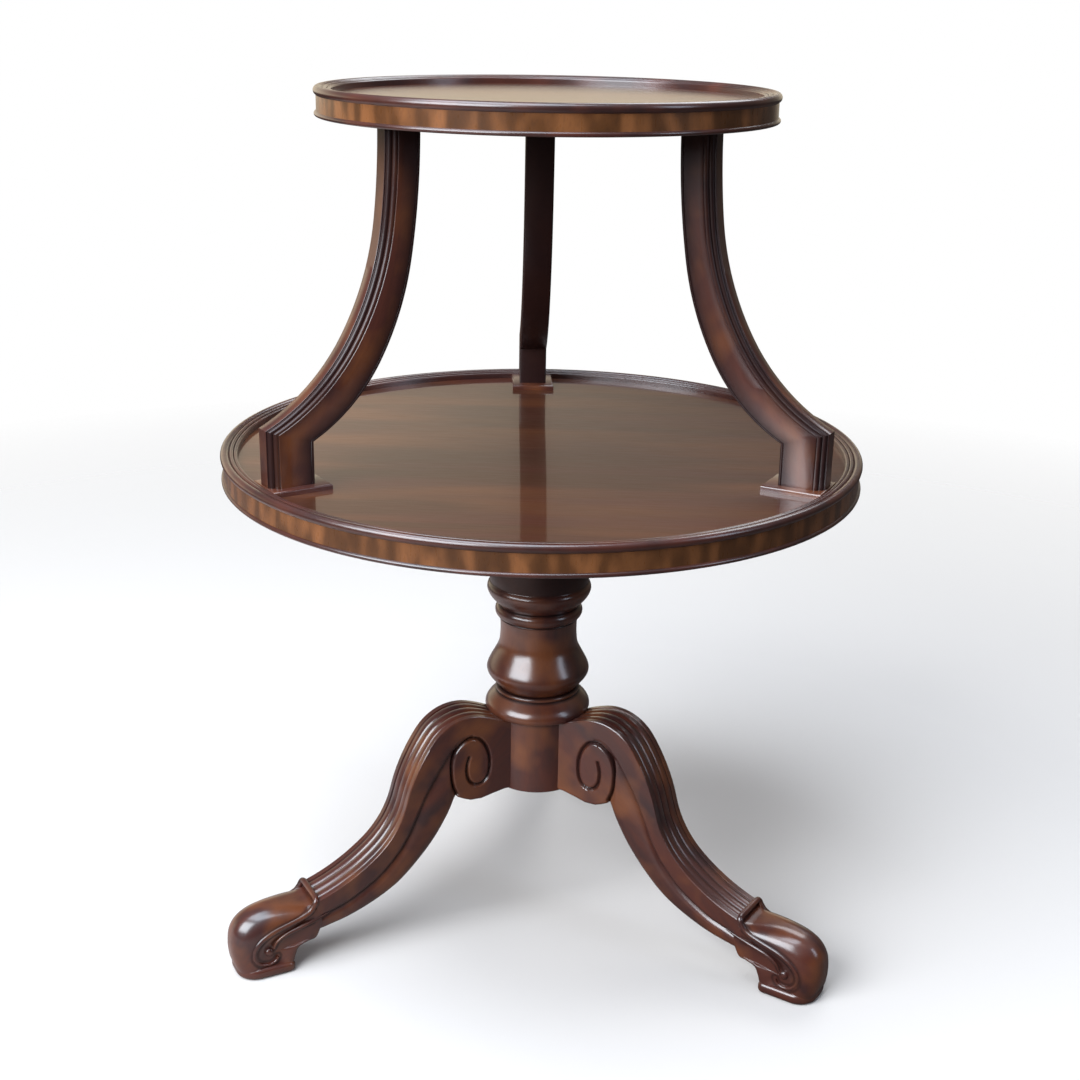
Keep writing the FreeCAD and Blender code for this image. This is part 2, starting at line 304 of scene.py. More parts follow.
def wrapped(mesh, strips):
    """Closed skin over strips that run from pole to pole, one beside the other all the way round."""
    strip = [mesh.verts.new(point) for point in strips[0]]
    edges = [mesh.edges.new(pair) for pair in zip(strip, strip[1:])]
    faces = []
    verts = list(strip)
    for points in strips[1:] + strips[:1]:
        strip, skin = drawn_on(mesh, strip, edges, points)
        edges = [mesh.edges.get(pair) for pair in zip(strip, strip[1:])]
        faces += skin
        verts += strip
    bmesh.ops.remove_doubles(mesh, verts=verts, dist=weld)
    bmesh.ops.recalc_face_normals(mesh, faces=[face for face in faces if face.is_valid])


def tube(mesh, path, radii, sides=10):
    """Round bead along a path, with a radius for each of its points."""
    rings = []
    for number, place in enumerate(path):
        along = (path[min(number + 1, len(path) - 1)] - path[max(number - 1, 0)]).normalized()
        aside = along.cross(Vector((0, 1, 0)) if abs(along.y) < 0.8 else up).normalized()
        over = along.cross(aside)
        turns = [2 * math.pi * side / sides for side in range(sides)]
        rings.append([
            place + radii[number] * (math.cos(turn) * aside + math.sin(turn) * over) for turn in turns])
    lofted(mesh, rings)


def boxed(low, high):
    """Box between two corners."""
    mesh = bmesh.new()
    bmesh.ops.create_cube(mesh, size=1)
    bmesh.ops.scale(mesh, vec=high - low, verts=mesh.verts)
    bmesh.ops.translate(mesh, vec=(low + high) / 2, verts=mesh.verts)
    return mesh


def level_edges(mesh, height):
    """Edges of a mesh that lie at a height."""
    return [edge for edge in mesh.edges
            if all(abs(vert.co.z - height) < level_slack for vert in edge.verts)]


def softened(mesh, edges, offset, segments):
    """Rounds the edges."""
    bmesh.ops.bevel(mesh, geom=edges, offset=offset, offset_type="OFFSET", segments=segments,
                    profile=0.5, affect="EDGES", material=-1)


def turned_to(mesh, azimuth):
    """Turns a mesh that was made along +X to its place round the column."""
    bmesh.ops.rotate(mesh, verts=mesh.verts, cent=(0, 0, 0), matrix=Matrix.Rotation(azimuth, 3, "Z"))


def added_to(mesh, piece):
    """Joins a mesh to another as a loose shell."""
    data = bpy.data.meshes.new("shell")
    piece.to_mesh(data)
    piece.free()
    mesh.from_mesh(data)
    bpy.data.meshes.remove(data)


def mark_grain(mesh, along):
    """Keeps each point's place in the timber: first along the grain, then across it."""
    layer = mesh.verts.layers.float_vector.new("grain")
    along = Vector(along).normalized()
    aside = along.orthogonal().normalized()
    over = along.cross(aside)
    for vert in mesh.verts:
        vert[layer] = Vector((vert.co.dot(along), vert.co.dot(aside), vert.co.dot(over)))


def finished(name, mesh, material, slot, *nodes, sharp=38):
    """Makes the mesh a piece that rides on the table and stands for the CAD nodes."""
    data = bpy.data.meshes.new(name)
    mesh.to_mesh(data)
    mesh.free()
    data.polygons.foreach_set("use_smooth", [True] * len(data.polygons))
    data.set_sharp_from_angle(angle=math.radians(sharp))
    data.materials.append(material)
    piece = bpy.data.objects.new(name, data)
    bpy.context.scene.collection.objects.link(piece)
    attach(piece, "root")
    if nodes:
        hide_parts(*nodes)
    return piece


# Materials


def wired(tree, kind, inputs=None, **settings):
    """Adds a node. An input is a plain value or another node's output."""
    node = tree.nodes.new(kind)
    for name, value in settings.items():
        setattr(node, name, value)
    for name, value in (inputs or {}).items():
        if isinstance(value, bpy.types.NodeSocket):
            tree.links.new(value, node.inputs[name])
        else:
            node.inputs[name].default_value = value
    return node


def mixed(tree, share, first, second):
    """Colour between two colours."""
    return wired(tree, "ShaderNodeMix", {0: share, 6: first, 7: second}, data_type="RGBA").outputs[2]


def shaped(tree, value, low, high, first=0.0, last=1.0):
    """Value taken from one range to another and kept there."""
    inputs = {"Value": value, "From Min": low, "From Max": high, "To Min": first, "To Max": last}
    return wired(tree, "ShaderNodeMapRange", inputs).outputs["Result"]


def product(tree, *values):
    """Several values times each other."""
    total = values[0]
    for value in values[1:]:
        total = wired(tree, "ShaderNodeMath", {0: total, 1: value}, operation="MULTIPLY").outputs[0]
    return total


def noise(tree, place, scale, detail, roughness=0.5, distortion=0.0):
    """Value of a noise texture at a place."""
    inputs = {"Vector": place, "Scale": scale, "Detail": detail, "Roughness": roughness,
              "Distortion": distortion}
    return wired(tree, "ShaderNodeTexNoise", inputs).outputs["Fac"]


def rgba(colour, share=1.0):
    """Colour for a socket, made lighter or darker by a share."""
    return (*(share * part for part in colour), 1.0)


def grain_group():
    """Node group of polished timber: long streaks of figure, fine pores and a slow change of tone."""
    group = bpy.data.node_groups.get("timber grain")
    if group:
        return group
    group = bpy.data.node_groups.new("timber grain", "ShaderNodeTree")
    value, colour = "NodeSocketFloat", "NodeSocketColor"
    for name, kind in (("Place", "NodeSocketVector"), ("Figure", value), ("Stretch", value),
                       ("Drift", value), ("Dark", colour), ("Main", colour), ("Light", colour)):
        group.interface.new_socket(name, in_out="INPUT", socket_type=kind)
    for name, kind in (("Colour", colour), ("Pores", value), ("Gloss", value)):
        group.interface.new_socket(name, in_out="OUTPUT", socket_type=kind)
    given = group.nodes.new("NodeGroupInput").outputs
    # The grain and the slow change of tone are each drawn out along the timber by a share of their own
    drawn_out = []
    for name in ("Stretch", "Drift"):
        scale = wired(group, "ShaderNodeCombineXYZ", {"X": given[name], "Y": 1.0, "Z": 1.0}).outputs[0]
        inputs = {"Vector": given["Place"], "Scale": scale}
        drawn_out.append(wired(group, "ShaderNodeMapping", inputs).outputs[0])
    along, drift = drawn_out
    figure = noise(group, along, given["Figure"], 4.0, 0.5, 0.4)
    streaks = noise(group, along, 420.0, 3.0, 0.6)
    pores = noise(group, along, 1500.0, 2.0)
    cloud = noise(group, drift, 22.0, 2.0)
    tone = mixed(group, shaped(group, figure, 0.30, 0.60, 0.1, 1.0), given["Dark"], given["Main"])
    tone = mixed(group, shaped(group, cloud, 0.45, 0.70, 0.0, 0.85), tone, given["Light"])
    tone = mixed(group, shaped(group, streaks, 0.5, 0.75, 0.0, 0.18), tone, given["Dark"])
    out = group.nodes.new("NodeGroupOutput").inputs
    group.links.new(tone, out["Colour"])
    group.links.new(shaped(group, pores, 0.55, 0.75), out["Pores"])
    group.links.new(shaped(group, streaks, 0.3, 0.7), out["Gloss"])
    return group


def new_material(name):
    """New material, with its tree and its shader."""
    material = bpy.data.materials.new(name)
    material.use_nodes = True
    tree = material.node_tree
    return material, tree, tree.nodes["Principled BSDF"]


def timber(name, dark, main, light, figure=45.0, stretch=0.2, drift=1.0, rough=(0.3, 0.4),
           polish=0.22, shade=None):
    """Polished timber whose grain follows the place that each piece keeps. Given a shade colour, it
    darkens where the piece's edge marks say: painted shade in hollows and under the tops, and the darker
    finish along the supports' edges.
    """
    material = bpy.data.materials.get(name)
    if material:
        return material
    material, tree, shader = new_material(name)
    place = wired(tree, "ShaderNodeAttribute", attribute_name="grain").outputs["Vector"]
    grain = wired(tree, "ShaderNodeGroup", node_tree=grain_group())
    for socket, value in (("Figure", figure), ("Stretch", stretch), ("Drift", drift), ("Dark", dark),
                          ("Main", main), ("Light", light)):
        grain.inputs[socket].default_value = value
    tree.links.new(place, grain.inputs["Place"])
    colour = grain.outputs["Colour"]
    if shade:
        # The edge marks mix in the shade colour: painted shade, and the supports' darker finished edges
        edge = wired(tree, "ShaderNodeAttribute", attribute_name="edge").outputs["Fac"]
        colour = mixed(tree, shaped(tree, edge, 0.15, 1.0, 0.0, 0.92), colour, shade)
        tree.links.new(shaped(tree, edge, 0.3, 0.9, 1.0, 0.25), shader.inputs["Coat Weight"])
    tree.links.new(colour, shader.inputs["Base Color"])
    tree.links.new(shaped(tree, grain.outputs["Gloss"], 0.0, 1.0, *rough), shader.inputs["Roughness"])
    shader.inputs["Specular IOR Level"].default_value = 0.2
    if polish and not shade:
        shader.inputs["Coat Weight"].default_value = 1.0
    if polish:
        shader.inputs["Coat Roughness"].default_value = polish
        shader.inputs["Coat IOR"].default_value = 1.68
    bump = wired(tree, "ShaderNodeBump",
                 {"Height": grain.outputs["Pores"], "Strength": 0.05, "Distance": 0.4 * mm})
    tree.links.new(bump.outputs["Normal"], shader.inputs["Normal"])
    return material


def crossbanding(colours):
    """Veneer of the edges: short upright patches of changing tone, cut across the grain."""
    material = bpy.data.materials.get("edge crossbanding")
    if material:
        return material
    material, tree, shader = new_material("edge crossbanding")
    place = wired(tree, "ShaderNodeTexCoord").outputs["Object"]
    upright = wired(tree, "ShaderNodeMapping", {"Vector": place, "Scale": (1.0, 1.0, 0.35)}).outputs[0]
    patches = noise(tree, upright, 80.0, 0.5, 0.4)
    areas = noise(tree, place, 7.0, 1.0)
    streaks = noise(tree, upright, 420.0, 3.0)
    tone = mixed(tree, shaped(tree, patches, 0.30, 0.54), rgba(colours.edge_veneer, 0.33),
                 rgba(colours.edge_veneer, 0.52))
    warm = product(tree, shaped(tree, patches, 0.44, 0.70), shaped(tree, areas, 0.35, 0.6, 0.45, 1.0))
    tone = mixed(tree, warm, tone, rgba(colours.edge_veneer))
    tone = mixed(tree, shaped(tree, streaks, 0.5, 0.75, 0.0, 0.2), tone, rgba(colours.stain_and_shade))
    tree.links.new(tone, shader.inputs["Base Color"])
    tree.links.new(shaped(tree, streaks, 0.3, 0.7, 0.26, 0.38), shader.inputs["Roughness"])
    shader.inputs["Specular IOR Level"].default_value = 0.2
    shader.inputs["Coat Weight"].default_value = 0.8
    shader.inputs["Coat Roughness"].default_value = 0.15
    return material


def frame_wood(colours):
    """Timber of the legs, the column and the pads."""
    return timber("polished frame wood", rgba(colours.stain_and_shade, 2.5), rgba(colours.heartwood),
                  rgba(colours.amber, 0.9), shade=rgba(colours.stain_and_shade))


def support_wood(colours):
    """Timber of the curved supports."""
    return timber("polished support wood", rgba(colours.heartwood, 0.5), rgba(colours.heartwood),
                  rgba(colours.amber, 0.75), shade=rgba(colours.stain_and_shade, 1.3))


def rim_wood(colours):
    """Timber of the rims and of the beads under the edge bands."""
    return timber("polished rim wood", rgba(colours.stain_and_shade, 2), rgba(colours.heartwood, 0.6),
                  rgba(colours.heartwood), polish=0.24)


def top_wood(colours, tier, polish):
    """Long-grained veneer of a top."""
    return timber(f"polished {tier} veneer", rgba(colours.heartwood), rgba(colours.top_veneer),
                  rgba(colours.amber, 0.6), figure=34.0, stretch=0.07, drift=0.16, polish=polish)


def plain_wood(colours):
    """Timber of the hidden bearer block."""
    return timber("unpolished hardwood", rgba(colours.amber, 0.6), rgba(colours.amber),
                  rgba(colours.amber, 1.4), rough=(0.55, 0.7), polish=0.0)


iron_colour = (0.035, 0.033, 0.032, 1)
rust_colour = (0.09, 0.05, 0.03, 1)


def wrought_iron():
    """Dull dark iron with a hammered, slightly rusty skin."""
    material, tree, shader = new_material("wrought iron")
    place = wired(tree, "ShaderNodeTexCoord").outputs["Object"]
    skin = noise(tree, place, 180.0, 4.0)
    tone = mixed(tree, shaped(tree, skin, 0.45, 0.7), iron_colour, rust_colour)
    tree.links.new(tone, shader.inputs["Base Color"])
    tree.links.new(shaped(tree, skin, 0.3, 0.7, 0.45, 0.7), shader.inputs["Roughness"])
    shader.inputs["Metallic"].default_value = 0.8
    bump = wired(tree, "ShaderNodeBump", {"Height": skin, "Strength": 0.2, "Distance": 1.0 * mm})
    tree.links.new(bump.outputs["Normal"], shader.inputs["Normal"])
    return material


# Tops

band_thickness = 1.0 * mm
upper_polish = 0.2
lower_polish = 0.05
edge_steps = 256
# Of each tier: radius over the rim, radius of the panel, underside, face and roughness of the polish
tiers = (("upper", upper_radius, upper_panel_radius, upper_underside, upper_face, upper_polish),
         ("lower", lower_radius, lower_panel_radius, lower_underside, lower_face, lower_polish))


class TABLE_OT_tops(bpy.types.Operator):
    """Veneered tops with crossbanded edges"""

    bl_idname = "tiered_table.tops"
    bl_label = "Tops and edge bands"

    def execute(self, context):
        colours = context.scene.table_colours
        for name, _, radius, underside, face, polish in tiers:
            inner = radius - band_thickness
            disc = spun([(0, underside), (inner, underside), (inner, face), (0, face)])
            mark_grain(disc, (1, 0, 0))
            finished(f"{name}_top", disc, top_wood(colours, name, polish), "top_wood", f"{name}_panel")
            section = [(inner, underside), (radius, underside), (radius, face), (inner, face)]
            band = spun(section, edge_steps, closed=True)
            finished(f"{name}_edge_band", band, crossbanding(colours), "top_wood")
        return {"FINISHED"}


reed_base = 4.0 * mm
reed_rise = 1.0 * mm


def rim_profile(sizes, radius, panel_radius, face):
    """Section of a rim: two small reeds inside, and a larger round that hangs over the top's edge."""
    inner, reed = radius - sizes.rim_width, sizes.rim_reed
    points = [Vector((inner, face)), Vector((inner, face + reed_base))]
    for number in range(2):
        centre = (inner + (2 * number + 1) * reed, face + reed_base + number * reed_rise)
        points += arc_points(centre, reed, 170, 10)
    middle = (radius - sizes.rim_round, face + rim_height - sizes.rim_round)
    points += arc_points(middle, sizes.rim_round, 165, -60)
    points.append(Vector((panel_radius, face)))
    return points


class TABLE_OT_rims(bpy.types.Operator):
    """Moulded rims on the tops, and the beads along their lower edges"""

    bl_idname = "tiered_table.rims"
    bl_label = "Rims and beads"

    def execute(self, context):
        sizes, colours = context.scene.table_sizes, context.scene.table_colours
        for name, radius, panel_radius, underside, face, _ in tiers:
            rim = spun(rim_profile(sizes, radius, panel_radius, face), edge_steps, closed=True)
            mark_grain(rim, (1, 0, 0))
            finished(f"{name}_moulded_rim", rim, rim_wood(colours), "rim_wood", f"{name}_rim")
            middle = (panel_radius, underside + sizes.edge_bead)
            bead = spun(arc_points(middle, sizes.edge_bead, -90, 90), edge_steps, closed=True)
            mark_grain(bead, (1, 0, 0))
            finished(f"{name}_edge_bead", bead, rim_wood(colours), "rim_wood", f"{name}_bead")
        return {"FINISHED"}


# Supports

# An arm's two edges, from the head down: shares of the run from head to foot and of the drop
support_inner_shares = [(0.09, 0.43), (0.385, 0.76), (1.0, 1.0)]
support_outer_shares = [(0.04, 0.315), (0.33, 0.713), (1.0, 1.0)]
foot_depth = 42 * mm
head_depth = 31 * mm
inner_notch = pad_top + 38 * mm
outer_notch = pad_top + 51 * mm
pad_width = 45 * mm
pad_bevel = 1.8 * mm
outer_face = 7.2 * mm
# How dark the finish is on the outer face, how dark the painted shade under the upper top is, and over
# which distances the darker edges and that painted shade fade
outer_tone = 0.35
head_shade_tone = 0.9
edge_stain = (3 * mm, 17 * mm)
head_shade_reach = (15 * mm, 85 * mm)
arm_steps = 60
arm_grain = (0.35, 0, -0.94)
# An arm's moulding in mm: depth under the outer face and distance in from the side
face_step = [(0, 7.6), (0.4, 7.1), (1.5, 7.0)]
bead_starts = [(1.7, 6.7), (5.7, 3.6)]
bead_arc = [(0, 0), (1.2, -2.4), (3.6, -2.9)]
bead_end = (3.8, -2.3)
side_step = [(9.8, 0.4), (10.4, 0)]
# The small bead along its inner edge in mm: height over the inner face and distance in from the side
inner_quirk = [(3.4, 0), (3.0, 0.9)]
inner_bead = [(2.8, 0.4), (1.5, 0), (0, 1.5)]


def arm_edge(head, foot, notch, shares):
    """Points along one edge of an arm, from its head to the notch of its foot and down to the pad."""
    points = [(head + (foot - head) * along, upper_underside + (notch - upper_underside) * down)
              for along, down in shares]
    curve = arc_chain((head, upper_underside), math.radians(-90), points)
    return resampled(curve, arm_steps) + [Vector((foot, pad_top))]


def support_side(sizes, depth):
    """Half of an arm's section: depth under the outer face and distance from the middle.

    Two beads step back from the side to the narrow outer face. A small bead runs along the inner edge.
    """
    half = sizes.support_width / 2

    def under(places):
        return [(deep * mm, half - aside * mm) for deep, aside in places]

    def over(places):
        return [(depth - rise * mm, half - aside * mm) for rise, aside in places]

    points = [(0, 0)] + under(face_step)
    for start in bead_starts:
        bead = [(start[0] + deep, start[1] + aside) for deep, aside in (*bead_arc, bead_end)]
        points += arc_through(*under(bead[:3]), count=9) + under(bead[3:])
    points += under(side_step) + [(depth / 2, half)] + over(inner_quirk)
    points += arc_through(*over(inner_bead), count=7) + [(depth, 0)]
    return points


class TABLE_OT_supports(bpy.types.Operator):
    """Curved supports with moulded edges, on their bevelled pads"""

    bl_idname = "tiered_table.supports"
    bl_label = "Supports and pads"

    def execute(self, context):
        sizes, colours = context.scene.table_sizes, context.scene.table_colours
        outer_edge = arm_edge(head_inner + head_depth, foot_outer, outer_notch, support_outer_shares)
        inner_edge = arm_edge(head_inner, foot_outer - foot_depth, inner_notch, support_inner_shares)
        rings = []
        for inner, outer in zip(inner_edge, outer_edge):
            along = (inner - outer).normalized()
            section = support_side(sizes, (inner - outer).length)
            side = [(outer + along * deep, aside) for deep, aside in section]
            ring = side + [(place, -aside) for place, aside in side[-2:0:-1]]
            rings.append([(place.x, aside, place.y) for place, aside in ring])
        pattern = bmesh.new()
        lofted(pattern, rings)
        self.shade_edges(pattern, inner_edge, outer_edge)
        mark_grain(pattern, arm_grain)
        for name, azimuth in leg_azimuths.items():
            arm = pattern.copy()
            turned_to(arm, azimuth + support_turn)
            finished(f"curved_support_{name}", arm, support_wood(colours), "frame_wood",
                     f"support_{name}")
            self.make_pad(name, azimuth, colours)
        pattern.free()
        return {"FINISHED"}

    def shade_edges(self, arm, inner_edge, outer_edge):
        """Marks how near each point is to an edge, where the finish is darker, and to the upper top,
        under which the mark is painted shade.
        """
        layer = arm.verts.layers.float.new("edge")
        inner, outer = nearness(inner_edge), nearness(outer_edge)
        for vert in arm.verts:
            place = (vert.co.x, vert.co.z, 0)
            outside = outer.find(place)[2]
            near = min(outside, inner.find(place)[2])
            flat = abs(vert.co.y) < outer_face and outside < outer_face
            dark = outer_tone if flat else 1 - smooth_step(*edge_stain, near)
            # Painted shade under the upper top: darker towards the head
            below = upper_underside - vert.co.z
            vert[layer] = max(dark, head_shade_tone * (1 - smooth_step(*head_shade_reach, below)))

    def make_pad(self, name, azimuth, colours):
        """Thin pad under a support, with its upper edges rounded."""
        pad = boxed(Vector((pad_inner, -pad_width / 2, lower_face)),
                    Vector((pad_outer, pad_width / 2, pad_top)))
        softened(pad, level_edges(pad, pad_top), pad_bevel, segments=3)
        mark_grain(pad, (1, 0, 0))
        turned_to(pad, azimuth + support_turn)
        finished(f"foot_pad_{name}", pad, frame_wood(colours), "frame_wood", f"support_pad_{name}")


# Column

drum_radius = 46 * mm
block_bevel = 9 * mm
column_steps = 160
dome_steps, vase_steps, collar_steps = 30, 70, 40
# The turned mouldings from the drum up: distance from the axis and height above the floor
base_dome = [(0.0485, 0.2223), (0.0516, 0.2228), (0.0528, 0.2250), (0.0530, 0.2276), (0.0522, 0.2306),
             (0.0502, 0.2340), (0.0472, 0.2374), (0.0442, 0.2406), (0.0424, 0.2426)]
base_bead = ((0.0418, 0.2430), (0.0427, 0.2452), (0.0397, 0.2473))
vase = [(0.0388, 0.2474), (0.0412, 0.2500), (0.0446, 0.2540), (0.0482, 0.2582), (0.0507, 0.2620),
        (0.0516, 0.2660), (0.0509, 0.2695), (0.0492, 0.2735), (0.0466, 0.2785), (0.0436, 0.2840),
        (0.0409, 0.2895), (0.0392, 0.2950), (0.0384, 0.3030), (0.0382, 0.3120), (0.0386, 0.3196)]
neck_bead = ((0.0386, 0.3196), (0.0395, 0.3207), (0.0390, 0.3219))
ring_torus = ((0.0397, 0.3222), (0.0437, 0.3287), (0.0402, 0.3352))
collar = [(0.0404, 0.3358), (0.0422, 0.3379), (0.0450, 0.3408), (0.0482, 0.3446), (0.0506, 0.3486),
          (0.0518, 0.3524), (0.0514, 0.3558), (0.0499, 0.3583), (0.0490, 0.3596), (0.0493, 0.3620),
          (0.0499, 0.3660), (0.0502, 0.3710)]
# Painted shade on the column: in the quirks between the mouldings, with the dirt that old polish gathers
# there, and over the collar, in the shade of the lower top
quirk_heights = (0.2428, 0.2474, 0.3221, 0.3356)
quirk_reach = 3 * mm
collar_shade = (0.3560, 0.3610)
collar_tone = 0.9


def column_profile():
    """Section of the turned column, from the axis under the drum to the axis under the block."""
    points = [(0, drum_bottom), (drum_radius, drum_bottom), (drum_radius, base_dome[0][1])]
    points += plane_path(base_dome, dome_steps) + arc_through(*base_bead) + plane_path(vase, vase_steps)
    points += arc_through(*neck_bead) + arc_through(*ring_torus) + plane_path(collar, collar_steps)
    return points + [(collar[-1][0], bearer_underside), (0, bearer_underside)]


class TABLE_OT_column(bpy.types.Operator):
    """Turned column, and the block that carries the lower top"""

    bl_idname = "tiered_table.column"
    bl_label = "Column and bearer block"

    def execute(self, context):
        colours = context.scene.table_colours
        column = spun(column_profile(), column_steps)
        mark_grain(column, up)
        layer = column.verts.layers.float.new("edge")
        # Painted shade in the quirks, with their dirt, and over the collar under the lower top
        for vert in column.verts:
            near = min(abs(vert.co.z - height) for height in quirk_heights)
            above = smooth_step(*collar_shade, vert.co.z)
            vert[layer] = max(1 - smooth_step(0, quirk_reach, near), collar_tone * above)
        finished("turned_column", column, frame_wood(colours), "frame_wood", "column", sharp=50)
        low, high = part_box("bearer_block")
        block = boxed(low, high)
        softened(block, level_edges(block, low.z), block_bevel, segments=4)
        mark_grain(block, (1, 0, 0))
        finished("column_block", block, plain_wood(colours), "inner_wood", "bearer_block",
                 "tenon_wedge")
        return {"FINISHED"}


# Legs, drawn along +X with the column's axis at 0: places are distance from the axis and height

leg_top_start = (0.046, 0.2223)
leg_top_heading = math.radians(27)
leg_top_places = [(0.071, 0.2322), (0.125, 0.2139), (0.154, 0.153), (0.186, 0.103), (0.250, 0.069)]
# Lower border of the leg's flat side against shares of the way down its top
leg_border = [
    (0.00, (0.0460, 0.1465)), (0.06, (0.0600, 0.1440)), (0.11, (0.0720, 0.1415)),
    (0.155, (0.0840, 0.1422)), (0.19, (0.0920, 0.1455)), (0.22, (0.0985, 0.1490)),
    (0.25, (0.1035, 0.1475)), (0.30, (0.1100, 0.1400)), (0.36, (0.1180, 0.1290)),
    (0.41, (0.1240, 0.1200)), (0.455, (0.1295, 0.1120)), (0.505, (0.1360, 0.1030)),
    (0.55, (0.1425, 0.0960)), (0.60, (0.1500, 0.0885)), (0.66, (0.1600, 0.0800)),
    (0.72, (0.1720, 0.0715)), (0.795, (0.1900, 0.0615)), (0.885, (0.2150, 0.0510)),
    (0.955, (0.2370, 0.0450)), (1.00, (0.2500, 0.0425)),
]
# Upper and lower edge of the roll along the underside
roll_upper = [(0.0830, 0.2128), (0.0905, 0.2118), (0.0980, 0.2074), (0.1046, 0.2006), (0.1108, 0.1924),
              (0.1170, 0.1834), (0.1232, 0.1740), (0.1302, 0.1624), (0.1359, 0.1508), (0.1416, 0.1385),
              (0.1510, 0.1190), (0.1630, 0.1010), (0.1840, 0.0800), (0.2140, 0.0620), (0.2360, 0.0545),
              (0.2500, 0.0505), (0.2580, 0.0490)]
roll_under = [(0.0985, 0.1500), (0.1025, 0.1370), (0.1090, 0.1220), (0.1240, 0.0990), (0.1470, 0.0750),
              (0.1720, 0.0570), (0.2110, 0.0415), (0.2540, 0.0330)]
# Middle of the groove cut into the knee's side, from its foot up and round
knee_spiral = [(0.0989, 0.1519), (0.1030, 0.1618), (0.1048, 0.1726), (0.1048, 0.1862), (0.1018, 0.1971),
               (0.0963, 0.2040), (0.0884, 0.2094), (0.0808, 0.2105), (0.0741, 0.2076), (0.0683, 0.2003),
               (0.0644, 0.1899), (0.0634, 0.1790), (0.0648, 0.1686), (0.0692, 0.1612), (0.0758, 0.1584),
               (0.0824, 0.1606), (0.0867, 0.1664), (0.0885, 0.1745), (0.0881, 0.1829), (0.0861, 0.1900)]
knee_reach = 0.116
# How many places of the spiral bound the roll, from the foot of the knee up
spiral_side = 8
leg_grain = (0.74, 0, -0.67)
# Toe: its outline from the side, and where its flat side starts to round over
toe_eye = (0.2955, 0.0235)
toe_border = [(0.2490, 0.0640), (0.2600, 0.0648), (0.2720, 0.0664), (0.2850, 0.0672), (0.2980, 0.0666),
              (0.3115, 0.0638), (0.3225, 0.0578), (0.3295, 0.0485), (0.3322, 0.0370), (0.3320, 0.0230),
              (0.3290, 0.0100), (0.3230, 0.0030), (0.3100, 0.0015), (0.2880, 0.0015), (0.2760, 0.0070),
              (0.2720, 0.0170), (0.2680, 0.0245), (0.2590, 0.0275), (0.2500, 0.0310), (0.2440, 0.0500)]
toe_shoulder = [(0.2510, 0.0600), (0.2590, 0.0580), (0.2680, 0.0560), (0.2790, 0.0530), (0.2900, 0.0490),
                (0.2995, 0.0435), (0.3065, 0.0370), (0.3105, 0.0300), (0.3125, 0.0240), (0.3130, 0.0180),
                (0.3130, 0.0110), (0.3120, 0.0075), (0.3060, 0.0050), (0.2900, 0.0050), (0.2800, 0.0095),
                (0.2765, 0.0185), (0.2715, 0.0265), (0.2610, 0.0300), (0.2520, 0.0340), (0.2465, 0.0500)]
# Width of the flat over a toe as shares of its whole width: narrow above and in front, wide under it
toe_flat_shares = [0.75, 0.45, 0.25, 0.15, 0.12, 0.12, 0.12, 0.12, 0.12, 0.16,
                   0.3, 0.6, 0.85, 0.9, 0.85, 0.85, 0.85, 0.85, 0.88, 0.88]
# Beads on a toe's side: the cuff from its scroll up to the ankle, and the bead under it
cuff_line = [(0.2905, 0.0195), (0.2930, 0.0155), (0.2990, 0.0132), (0.3075, 0.0152), (0.3135, 0.0225),
             (0.3135, 0.0310), (0.3090, 0.0385), (0.3020, 0.0440), (0.2915, 0.0487), (0.2765, 0.0530),
             (0.2640, 0.0568), (0.2565, 0.0605), (0.2525, 0.0655), (0.2502, 0.0695)]
ankle_line = [(0.2360, 0.0542), (0.2490, 0.0505), (0.2670, 0.0465), (0.2810, 0.0425), (0.2905, 0.0370),
              (0.2945, 0.0300)]
curve_steps = 400


def leg_top_curve():
    """Points along the top of a leg, from the drum to the cuff."""
    return resampled(arc_chain(leg_top_start, leg_top_heading, leg_top_places), curve_steps)


def leg_top_at(curve, share):
    """Place on the top of a leg at a share of the way down, and the direction out of it."""
    reach = share * (len(curve) - 1)
    number = min(int(reach), len(curve) - 2)
    along = (curve[number + 1] - curve[number]).normalized()
    return curve[number].lerp(curve[number + 1], reach - number), Vector((-along.y, along.x))


def border_at(share):
    """Lower border of the flat side, at a share of the way down the leg's top."""
    for (low, start), (high, end) in zip(leg_border, leg_border[1:]):
        if share <= high:
            return Vector(start).lerp(Vector(end), (share - low) / (high - low))
    return Vector(leg_border[-1][1])


def reed_drop(sizes, aside):
    """How far the leg's top lies under its margins, across its width."""
    half = sizes.leg_width / 2 - sizes.leg_margin
    if abs(aside) >= half:
        return 0.0
    phase = (aside + half) / (2 * half) * sizes.leg_reeds % 1
    return sizes.leg_reed_depth * (1 - math.sqrt(max(0.0, 1 - (2 * phase - 1) ** 2)))


# Steps across a leg's top and down its side
top_steps = 72
side_steps = 84
# The rings of a leg stand closer over the knee, down to this share of its top
knee_share = 0.36
knee_rings, shaft_rings = 110, 56
# Width of the softened edges along the top and under the knee's volute, and how far they fall back
arris = 1.2 * mm
arris_fall = 0.6 * arris
volute_share = 0.22
volute_arris = 2.4 * mm
volute_fall = 0.7 * volute_arris
crease_round = 3.2 * mm
crease_fall = 1.4 * mm
crease_steps = 100
border_steps = 24
# How far the flank sinks behind the roll, and how far the roll starts sunk in the flank. The roll comes
# out over these shares of the crease
roll_sink = 8 * mm
sink_reach = 4.5 * mm
start_sink = 2.5 * mm
roll_start = (0.05, 0.13)
root_depth = 9 * mm


